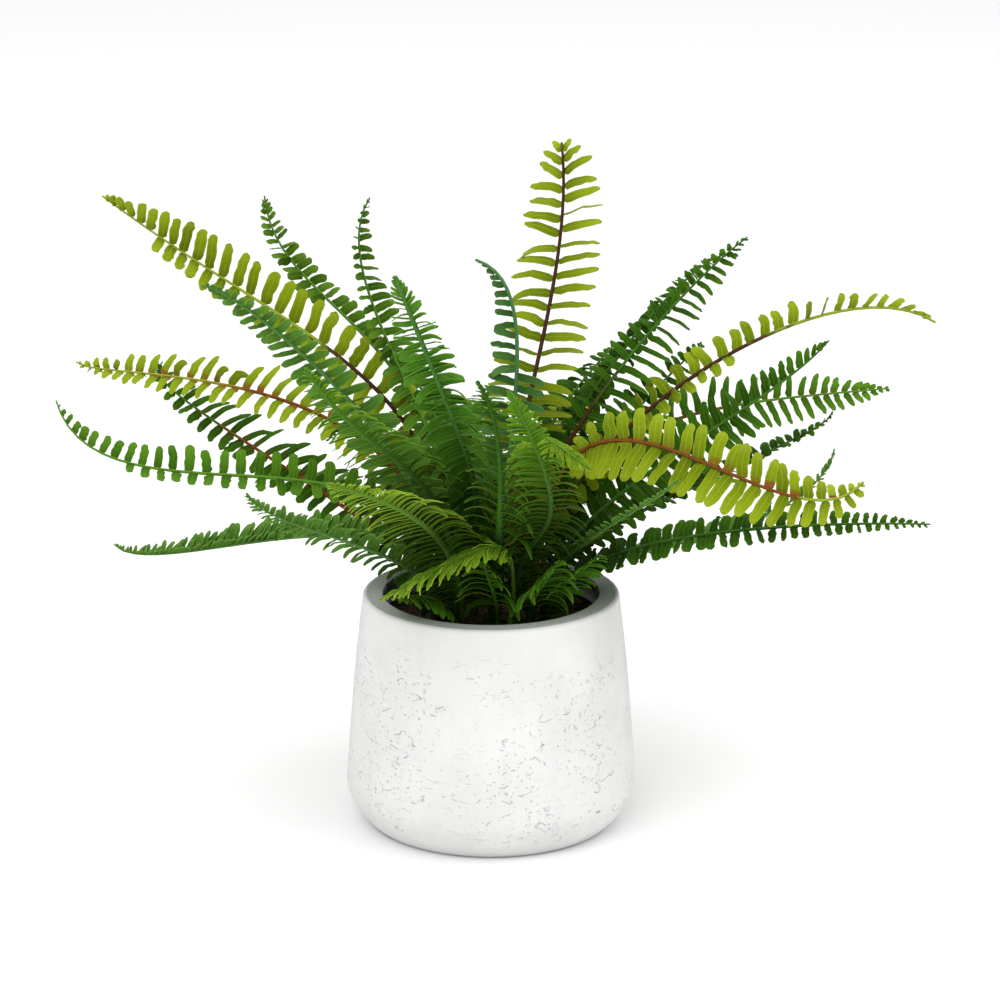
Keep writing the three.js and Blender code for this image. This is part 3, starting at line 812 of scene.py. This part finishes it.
# the stations of one leaflet: middle, half width to its side and face, from stalk to tip
def leafletStations(rachis, row, share, side, length, width, change, waves):
    place, forward, left, upper = rachis.frame(share)
    cup = math.radians(mixed(row["cup"], share))
    out = left * side * math.cos(cup) + upper * math.sin(cup)
    lean = leaflet["tipLean"] * max(0, share * 7 - 6) ** 1.5  # over the last seventh
    sweep = mixed(row["sweep"], share) + change["sweep"] + lean
    axis = forward.cross(out).normalized()  # turns forward towards out
    heading = turned(out, axis, -sweep)
    sky = min(1, max(0, mixed(row["sky"], share) + change["sky"]))
    face = upper.lerp(Vector((0, 0, 1)), sky)
    face = (face - heading * face.dot(heading)).normalized()
    face = turned(face, heading, change["twist"])
    droop = mixed(row["droop"], share) + change["droop"]
    down = Vector((0, 0, -1))
    fall = heading.cross(down).normalized()
    lift = min(mixed(row["arch"], share), math.degrees(heading.angle(-down)) * leaflet["lift"])
    heading, face = turned(heading, fall, -lift), turned(face, fall, -lift)
    room = math.degrees(heading.angle(down))
    droop = min(droop, room * leaflet["fall"])
    hook = mixed(row["hook"], share) + change["hook"]
    hook *= math.copysign(1, face.dot(heading.cross(forward)))
    point = place + out * leaflet["root"]
    firstBend, moreBend = leaflet["bending"]
    made = []
    previous = 0
    for i, along in enumerate(outlines["along"]):
        step = along - previous
        previous = along
        if step:
            turn = droop * (firstBend + moreBend * along) * step
            heading = turned(heading, fall, turn)
            face = turned(face, fall, turn)
            heading = turned(heading, face, hook * leaflet["curling"] * along * step)
            point = point + heading * length * step
        across = heading.cross(face).normalized()
        blunt, pointed = outlines["blunt"][i], outlines["pointed"][i]
        full = blunt * (1 - row["pointed"]) + pointed * row["pointed"]
        half = max(leaflet["slimmest"], full * width / 2)
        aside, raised, swollen = waves[i]
        middle = point + across * half * aside + face * width * raised
        made.append((middle, across * half * swollen, face.copy()))
    return made


def leafletCorners(stations):
    made = []
    for middle, across, face in stations:
        hang = face * across.length * leaflet["trough"]
        made += [middle - across - hang, middle, middle + across - hang]
    return made


def sheetTree(corners):
    quads = []
    for i in range(len(corners) // 3 - 1):
        for k in (0, 1):
            quads.append((3 * i + k, 3 * i + k + 1, 3 * i + k + 4, 3 * i + k + 3))
    return BVHTree.FromPolygons(corners, quads)


def boxOf(points):
    low = [min(p[i] for p in points) for i in range(3)]
    high = [max(p[i] for p in points) for i in range(3)]
    return low, high


def meet(a, b):
    return all(a[0][i] <= b[1][i] and b[0][i] <= a[1][i] for i in range(3))


# what a leaflet tries when a neighbour is in its way: length, then more sky, sweep, droop, twist
tries = [
    (1, 0, 0, 0, 0), (1, 0.25, 0, 0, 0), (1, -0.25, 0, 0, 0), (1, 0, 0, 0, 25), (1, 0, 0, 0, -25),
    (1, 0, 12, 0, 0), (1, 0, -12, 0, 0), (0.95, 0, 0, 16, 0), (0.95, 0, 0, -16, 0),
    (0.9, 0.2, 14, 10, 10), (0.9, -0.2, -14, -10, -10), (0.85, 0, 0, 30, 40),
    (0.85, 0, 0, -30, -40), (0.78, 0, 0, 0, 0), (0.75, 0.2, 20, 0, 30), (0.75, -0.2, -20, 0, -30),
    (0.62, 0, 0, 0, 0), (0.6, 0, 14, 14, 45), (0.5, 0, 0, 0, 0), (0.42, 0, 0, 0, 60),
    (0.34, 0, 0, 0, 0),
]


def addLeaflet(bm, layers, stations, marks):
    corners = leafletCorners(stations)
    rows = len(stations) - 1
    made = bmesh.ops.create_grid(bm, x_segments=2, y_segments=rows, size=1)["verts"]
    spots = {}
    for vert in made:
        column = round(vert.co.x + 1)
        line = round((vert.co.y + 1) / 2 * rows)
        spots[vert] = (column / 2, outlines["along"][line])
        vert.co = corners[3 * line + column] * mm
    for face in {f for vert in made for f in vert.link_faces}:
        face.material_index = 0
        for name, value in marks.items():
            face[layers[name]] = value
        for loop in face.loops:
            loop[layers["leaf"]].uv = spots[loop.vert]


def addStalk(bm, layers, rachis):
    rings = grow["stalkRings"]
    row = rachis.row
    brown, fresh = row["russet"]
    for vert, angle, ring in tube(bm, grow["stalkSides"], rings + 1):
        share = max(0, ring - 1) / rings
        place, _, left, upper = rachis.frame(share)
        radius = mixed(row["stalk"], share ** 1.15)
        radius *= 1 + grow["footSwell"] * max(0, 1 - share * grow["footEnd"])
        onTop = math.sin(angle) > 0.9  # where the groove runs
        high = math.sin(angle) * (grow["groove"] if onTop else grow["flatness"])
        place = place + left * math.cos(angle) * radius + upper * high * radius
        if ring == 0:
            place.z -= grow["planted"]
        vert.co = place * mm
        vert[layers["bark"]] = 1 - min(1, max(0, (share - brown) / (fresh - brown)))
        vert[layers["stalkShade"]] = max(0, 1 - share / row["deep"])
    bmesh.ops.recalc_face_normals(bm, faces=bm.faces[:])
    for face in bm.faces:
        face.material_index = 1


def newFrond(row):
    bm = bmesh.new()
    faceMarks = ("under", "odd", "spots", "share", "deep")
    layers = {name: bm.faces.layers.float.new(name) for name in faceMarks}
    layers["stalkShade"] = bm.verts.layers.float.new("stalkShade")
    layers["bark"] = bm.verts.layers.float.new("bark")
    layers["leaf"] = bm.loops.layers.uv.new("leaf")
    rachis = Rachis(row)
    addStalk(bm, layers, rachis)
    return {"row": row, "bm": bm, "layers": layers, "rachis": rachis,
            "stalk": BVHTree.FromBMesh(bm), "box": boxOf([v.co for v in bm.verts])}


def clearOf(stations, obstacles):
    corners = [c * mm for c in leafletCorners(stations)]
    box = boxOf(corners)
    tree = None
    for otherBox, other in obstacles:
        if meet(box, otherBox):
            tree = tree or sheetTree(corners)
            if tree.overlap(other):
                return False
    return True


# all that chance decides for one leaflet
def drawLeaflet(rng, own, share, spread, small):
    reach = mixed(own["reach"], share)
    length = own["half"] * reach * spread * rng.uniform(*leaflet["lengths"])
    length = max(leaflet["shortest"], length)
    toTip = max(0, min(1, share * 5 - 3.9))  # leaflets close up at the tip
    atTip = mixed(own["spacing"], share) * leaflet["tipWidth"]
    full = mixed(own["width"], share) * (1 - toTip) + atTip * toTip
    width = min(full * small * rng.uniform(*leaflet["widths"]), length * leaflet["stoutest"])
    strays = dict(leaflet["strays"], twist=leaflet["strays"]["twist"] + own["twist"])
    loose = {key: rng.gauss(0, stray) * own["unrest"] for key, stray in strays.items()}
    if rng.random() < own["wild"]:
        for key, more in leaflet["wild"].items():
            loose[key] += more
    soft = own["ruffle"]
    waves = []
    for _ in outlines["along"]:
        aside, raised = [rng.gauss(0, wave) * soft for wave in leaflet["waves"]]
        waves.append((aside, raised, 1 + rng.uniform(*leaflet["ruffles"]) * soft))
    marks = {"odd": rng.random(), "share": share, "deep": max(0, 1 - share / own["deep"])}
    spotted = max(0, mixed(own["spots"], share)) * (rng.random() < leaflet["spotted"])
    marks["spots"] = spotted * rng.uniform(0.5, 1)
    return length, width, loose, waves, marks


def addLeaflets(plant, obstacles):
    row, rachis = plant["row"], plant["rachis"]
    rng = random.Random(row["name"])
    counts = {"leaflets": 0, "shortened": 0, "left out": 0}
    for side in (1, -1):
        own = {**row, **row.get("left" if side > 0 else "right", {})}
        halfStep = mixed(own["spacing"], 0) / 2 if side > 0 else 0
        run = rachis.length * own["start"] + halfStep
        while run < rachis.length * own["end"] - leaflet["endRoom"]:
            share = run / rachis.length
            spread = spreadAt(row, share)
            small = leaflet["smallest"] + (1 - leaflet["smallest"]) * spread
            length, width, loose, waves, marks = drawLeaflet(rng, own, share, spread, small)
            run += mixed(own["spacing"], share) * small * rng.uniform(*leaflet["spacings"])
            for cut, *more in tries:
                change = {key: extra + loose[key] for key, extra in zip(loose, (*more, 0))}
                stations = leafletStations(rachis, own, share, side, length * cut, width,
                                           change, waves)
                if clearOf(stations, obstacles):
                    addLeaflet(plant["bm"], plant["layers"], stations, marks)
                    counts["leaflets"] += 1
                    counts["shortened"] += cut < 1
                    break
            else:
                counts["left out"] += 1
    return counts


def thicken(plant):
    bm, layers = plant["bm"], plant["layers"]
    sheets = [f for f in bm.faces if f.material_index == 0]
    made = bmesh.ops.solidify(bm, geom=sheets, thickness=leaflet["thickness"] * mm)
    for face in made["geom"]:
        if isinstance(face, bmesh.types.BMFace):
            face[layers["under"]] = 1
    for edge in bm.edges:
        edge.smooth = edge.calc_face_angle(0) < leaflet["crease"]


def leafFinish(name, look):
    f = Finish(name)
    here = f.place()
    across, along, _ = f.parts(f.node("ShaderNodeUVMap", {"uv_map": "leaf"}))
    under, odd, spots = f.attribute("under"), f.attribute("odd"), f.attribute("spots")
    share, deep = f.attribute("share"), f.attribute("deep")
    upper, marginLight, vein = look["upper"], look["marginLight"], tone(look["vein"])
    middle = abs(across - 0.5)
    midrib = f.fade(middle, 0.06, 0.012)
    # side veins leave the midrib at a slant and run to the margin
    slant = f.node("ShaderNodeMath", {"operation": "SINE"},
                   {0: along * surface["sideVeins"] - middle * surface["veinSlant"]})
    veins = f.fade(slant, 0.2, 1.0) * f.fade(middle, 0.5, 0.4)
    mottle = f.clouds(here, surface["mottle"], 4, 0.6)
    mottled = f.fade(mottle, 0.3, 0.75)
    green = f.blend(mottled * 0.6, tone(upper), tone(upper, 0.6))
    # the under side is paler: partly its own paler green, partly painted light shining through the
    # leaflet
    pale = f.blend(mottled * 0.45, tone(look["under"]), tone(look["under"], 0.66))
    colour = f.blend(under, green, pale)
    colour = f.blend(odd * 0.3 + f.fade(share, 0.75, 1.0) * 0.45, colour, tone(look["young"]))
    colour = f.blend(f.fade(odd, 0.45, 0.0) * 0.4, colour, tone(upper, 0.5))
    # painted shadow: broad patches darken the leaflets, as if shaded by other fronds
    cast = f.clouds(here, surface["cast"], 2)
    colour = f.blend(f.fade(cast, 0.45, 0.75) * 0.4, colour, tone(upper, 0.6))
    # painted shade darkens them towards the stalk and deep in the plant; painted light and their
    # own paler green make them lighter at the end and the margin, with the paler midrib and veins
    colour = f.blend(f.fade(along, 0.65, 0.0) * 0.55, colour, tone(upper, 0.3))
    veinsAndPaintedLight = f.fade(along, 0.55, 1.0) * 0.25 + midrib * 0.3 + veins * 0.18
    veinsAndPaintedLight = veinsAndPaintedLight + f.fade(middle, 0.36, 0.5) * marginLight
    colour = f.blend(f.capped(veinsAndPaintedLight), colour, vein)
    colour = f.blend(f.fade(deep, 0.0, 0.6) * 0.92, colour, tone(upper, 0.24))
    scorch = f.fade(middle, 0.44, 0.5) * f.fade(odd, 0.86, 0.94) * 0.4
    colour = f.blend(scorch, colour, surface["scorch"])
    rusty = along + f.clouds(here, surface["rustEdge"], 2) * 0.3
    rusty = f.fade(rusty, 0.42, 0.3) * f.capped(spots) * f.fade(odd, 0.35, 0.5)
    colour = f.blend(rusty, colour, surface["rust"])
    bulge = under * 2 - 1  # the veins stand out below and lie sunk above
    height = bulge * (midrib * 0.8 + veins * 0.28) + mottle * 0.22
    relief = f.relief(height, surface["leafRelief"] * mm, 0.75)
    roughness = f.fade(mottle, 0.3, 0.7, 0.46, 0.64) + under * 0.12
    return f.wear(colour, roughness, relief, Specular_IOR_Level=surface["leafGloss"],
                  Specular_Tint=surface["leafGlint"])


def stalkFinish(name, green, barkTone):
    f = Finish(name)
    here = f.place()
    flecks = f.clouds(here, surface["flecks"], 3, 0.6)
    scaly = f.fade(flecks, 0.35, 0.6)
    skin = f.blend(scaly * 0.3, tone(green), tone(green, 0.7))
    brown = f.blend(scaly, tone(barkTone, 0.6), tone(barkTone))
    edge = f.attribute("bark") + f.clouds(here, surface["barkEdge"], 2) * 0.5 - 0.25
    colour = f.blend(f.fade(edge, 0.25, 0.65), skin, brown)
    # painted shade: the stalk darkens towards its foot, deep in the plant
    colour = f.blend(f.fade(f.attribute("stalkShade"), 0.0, 0.6) * 0.85, colour, tone(green, 0.17))
    relief = f.relief(flecks, surface["stalkRelief"] * mm, 0.6)
    return f.wear(colour, f.fade(flecks, 0.3, 0.7, 0.55, 0.8), relief,
                  Specular_IOR_Level=surface["stalkGloss"])


leafFinishes = {name: leafFinish("leaflet_" + name, look) for name, look in shades.items()}
stalkFinishes = {}


def finishOfStalk(row):
    key = (row["shade"], row["bark"])
    if key not in stalkFinishes:
        green, barkTone = shades[row["shade"]]["stalk"], barks[row["bark"]]
        stalkFinishes[key] = stalkFinish("stalk_" + "_".join(key), green, barkTone)
    return stalkFinishes[key]


def treeOf(piece):
    corners = [v.co for v in piece.data.vertices]
    polygons = [p.vertices[:] for p in piece.data.polygons]
    return boxOf(corners), BVHTree.FromPolygons(corners, polygons)


def makeFronds(fixed):
    plants = [newFrond(row) for row in fronds]
    grown = []
    totals = {}
    for plant in plants:
        stalks = [(p["box"], p["stalk"]) for p in plants if p is not plant]
        for key, count in addLeaflets(plant, fixed + stalks + grown).items():
            totals[key] = totals.get(key, 0) + count
        thicken(plant)
        bm, row = plant["bm"], plant["row"]
        grown.append((boxOf([v.co for v in bm.verts]), BVHTree.FromBMesh(bm)))
        materials = [leafFinishes[row["shade"]], finishOfStalk(row)]
        piece = finished(row["name"] + "_leaves", bm, materials)
        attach(piece, "root")
        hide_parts(row["name"])
    print("fronds", len(plants), *(part for pair in totals.items() for part in pair))


# the crumbs and fibres leave the stalks' feet free, so the soil is made once these are known
soilPiece = makeSoil([Vector((*row["foot"], 0)) for row in fronds])
print("soil")

makeFronds([treeOf(potPiece), treeOf(soilPiece)])


# bring the scene up to date

bpy.context.view_layer.update()
